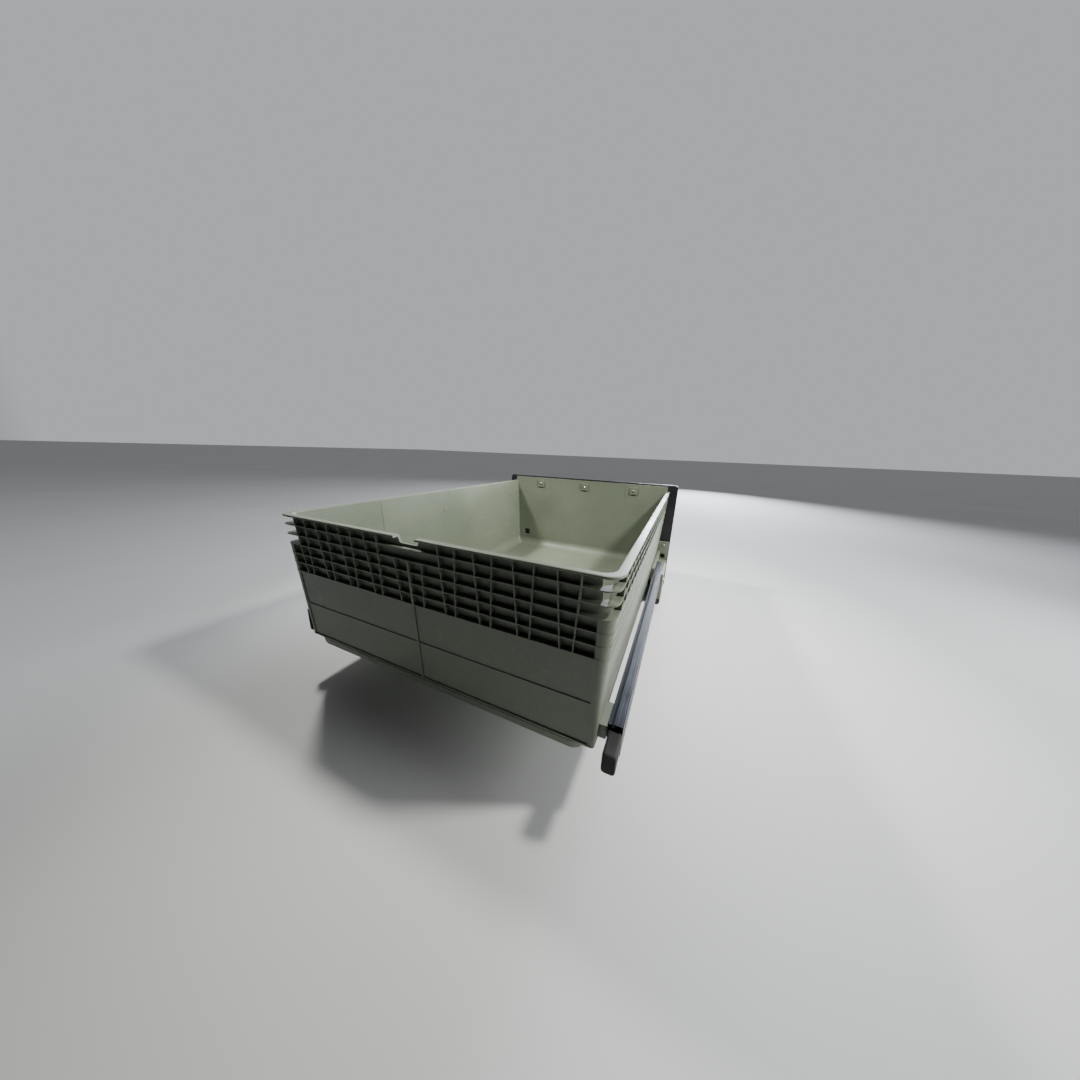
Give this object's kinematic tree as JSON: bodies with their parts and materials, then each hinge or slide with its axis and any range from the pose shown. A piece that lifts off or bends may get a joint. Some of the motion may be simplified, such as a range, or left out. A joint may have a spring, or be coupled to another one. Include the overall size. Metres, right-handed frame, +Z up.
{
  "type": "pull-out storage drawer",
  "caption": "Ribbed moulded drawer tub behind a flat front panel, on low telescopic slides, with front brackets, side detents and a paddle latch, for a camper's bench or bunk.",
  "frame": {"origin": "under the middle of the whole object, level with the bottom edge of the front panel", "axes": "+Z up, -Y is the way the drawer opens, towards the person in front of it, and +X is that person's right"},
  "size_m": [0.6108, 0.8368, 0.345],
  "materials": {
    "olive_plastic": "fine-textured moulded plastic in a greyed olive green",
    "black_plastic": "satin black moulded plastic",
    "black_rubber": "dull black rubber",
    "slide_steel": "rolled steel with a worn blue-grey coat",
    "bright_zinc": "bright zinc plating",
    "cage_steel": "thin pressed steel strip with polished balls"
  },
  "bodies": {
    "vehicle_rails": {"cabinet_member_left": "slide_steel", "cabinet_member_right": "slide_steel", "rear_stop_left": "black_rubber"},
    "drawer": {"tub": "olive_plastic", "front_panel": "black_plastic", "square_washer_left": "olive_plastic", "square_washer_middle": "olive_plastic", "square_washer_right": "olive_plastic", "washer_screw_left": "bright_zinc", "washer_screw_middle": "bright_zinc", "washer_screw_right": "bright_zinc", "drawer_member_left": "slide_steel", "drawer_member_right": "slide_steel", "slide_screw_front_left": "bright_zinc", "slide_screw_front_right": "bright_zinc", "slide_screw_second_left": "bright_zinc", "slide_screw_second_right": "bright_zinc", "slide_screw_rear_left": "bright_zinc", "slide_screw_rear_right": "bright_zinc", "front_bracket_left": "olive_plastic", "front_bracket_right": "olive_plastic", "bracket_screw_lower_left": "bright_zinc", "bracket_screw_lower_right": "bright_zinc", "bracket_screw_upper_left": "bright_zinc", "bracket_screw_upper_right": "bright_zinc", "bracket_foot_left": "black_rubber", "bracket_foot_right": "black_rubber", "detent_retainer_left": "bright_zinc", "detent_retainer_right": "bright_zinc", "detent_spring_left": "bright_zinc", "detent_spring_right": "bright_zinc", "latch_case": "black_plastic", "latch_pin": "bright_zinc", "latch_spring": "bright_zinc"},
    "middle_runners": {"middle_member_left": "slide_steel", "middle_member_right": "slide_steel"},
    "outer_runners": {"outer_ball_cage_left": "cage_steel", "outer_ball_cage_right": "cage_steel"},
    "inner_runners": {"inner_ball_cage_left": "cage_steel", "inner_ball_cage_right": "cage_steel"},
    "detent_left": {"detent_plunger_left": "bright_zinc"},
    "detent_right": {"detent_plunger_right": "bright_zinc"},
    "latch": {"latch_lever": "black_plastic"}
  },
  "joints": [
    {"name": "drawer_slide", "type": "slide", "parent": "vehicle_rails", "child": "drawer", "axis": [0, -1, 0], "range_m": [0, 0.55]},
    {"name": "middle_slide", "type": "slide", "parent": "vehicle_rails", "child": "middle_runners", "axis": [0, -1, 0], "range_m": [0, 0.275]},
    {"name": "outer_cage_slide", "type": "slide", "parent": "vehicle_rails", "child": "outer_runners", "axis": [0, -1, 0], "range_m": [0, 0.1375]},
    {"name": "inner_cage_slide", "type": "slide", "parent": "vehicle_rails", "child": "inner_runners", "axis": [0, -1, 0], "range_m": [0, 0.4125]},
    {"name": "detent_press_left", "type": "slide", "parent": "drawer", "child": "detent_left", "axis": [1, 0, 0], "range_m": [0, 0.0045], "stiffness_N_per_m": 800, "deforming": ["detent_spring_left"]},
    {"name": "detent_press_right", "type": "slide", "parent": "drawer", "child": "detent_right", "axis": [-1, 0, 0], "range_m": [0, 0.0045], "stiffness_N_per_m": 800, "deforming": ["detent_spring_right"]},
    {"name": "latch_turn", "type": "hinge", "parent": "drawer", "child": "latch", "pos_m": [0, -0.4109, 0.058], "axis": [-1, 0, 0], "range_deg": [0, 22], "stiffness_Nm_per_rad": 0.06, "springref_deg": -17.19}
  ],
  "couplings": [
    {"joint": "middle_slide", "follows": "drawer_slide", "ratio": 0.5},
    {"joint": "outer_cage_slide", "follows": "drawer_slide", "ratio": 0.25},
    {"joint": "inner_cage_slide", "follows": "drawer_slide", "ratio": 0.75}
  ]
}
